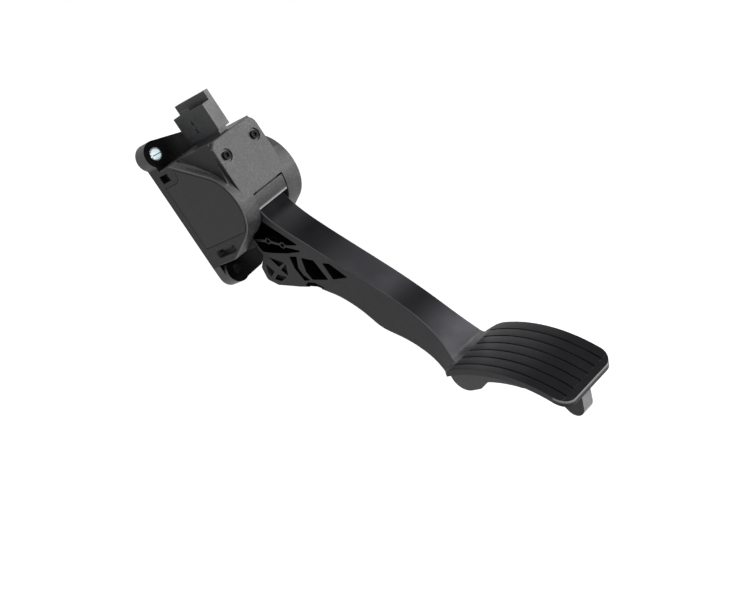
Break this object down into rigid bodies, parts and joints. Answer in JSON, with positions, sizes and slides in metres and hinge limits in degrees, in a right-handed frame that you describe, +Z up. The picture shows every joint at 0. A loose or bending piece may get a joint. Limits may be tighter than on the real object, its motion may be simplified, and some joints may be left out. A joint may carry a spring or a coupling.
{
  "type": "accelerator pedal",
  "caption": "Hanging accelerator pedal: moulded arm with a curved ribbed foot pad, turning in a bulkhead-mounted sensor housing with an upright plug socket.",
  "frame": {"origin": "on the mounting face, in the middle plane of the arm and level with the pivot", "axes": "+X along the pivot to the driver's right, +Y out of the mounting face into the bulkhead, +Z up"},
  "size_m": [0.0789, 0.2257, 0.2836],
  "materials": {
    "housing": "black glass-filled moulding, fine matte grain",
    "cover": "dark grey moulded panel, matte",
    "carrier": "black moulding, slight sheen on the socket",
    "terminals": "tinned brass strip",
    "board": "green laminate board with printed tracks",
    "screws": "black coated steel screws",
    "sleeves": "blue-passivated zinc on rolled steel",
    "bushes": "natural bearing plastic",
    "shaft": "ground steel",
    "washers": "natural bearing plastic",
    "lever": "black glass-filled moulding, satin on the top of the arm",
    "wiper": "spring bronze fingers on a plate",
    "arbor": "grey bearing plastic",
    "springs": "oiled spring steel",
    "shoe": "brown friction plastic",
    "stops": "black rubber"
  },
  "bodies": {
    "housing_unit": {"housing": "housing", "side_cover": "cover", "end_cap": "cover", "sensor_carrier": "carrier", "connector_terminals": "terminals", "sensor_board": "board", "carrier_screws": "screws", "lug_sleeve_top": "sleeves", "lug_sleeve_right": "sleeves", "bush_left": "bushes", "bush_right": "bushes", "friction_shoe": "shoe", "shoe_spring": "springs", "idle_stop": "stops", "travel_stop": "stops"},
    "pedal": {"pedal_lever": "lever", "pivot_shaft": "shaft", "shaft_clip": "springs", "thrust_washer_left": "washers", "thrust_washer_right": "washers", "sensor_wiper": "wiper", "spring_arbor": "arbor", "return_spring_outer": "springs", "return_spring_inner": "springs"}
  },
  "joints": [
    {"name": "pedal_pivot", "type": "hinge", "parent": "housing_unit", "child": "pedal", "pos_m": [0, -0.03815, 0], "axis": [1, 0, 0], "range_deg": [0, 14], "stiffness_Nm_per_rad": 6, "springref_deg": -28.65, "deforming": ["return_spring_outer", "return_spring_inner"]}
  ]
}
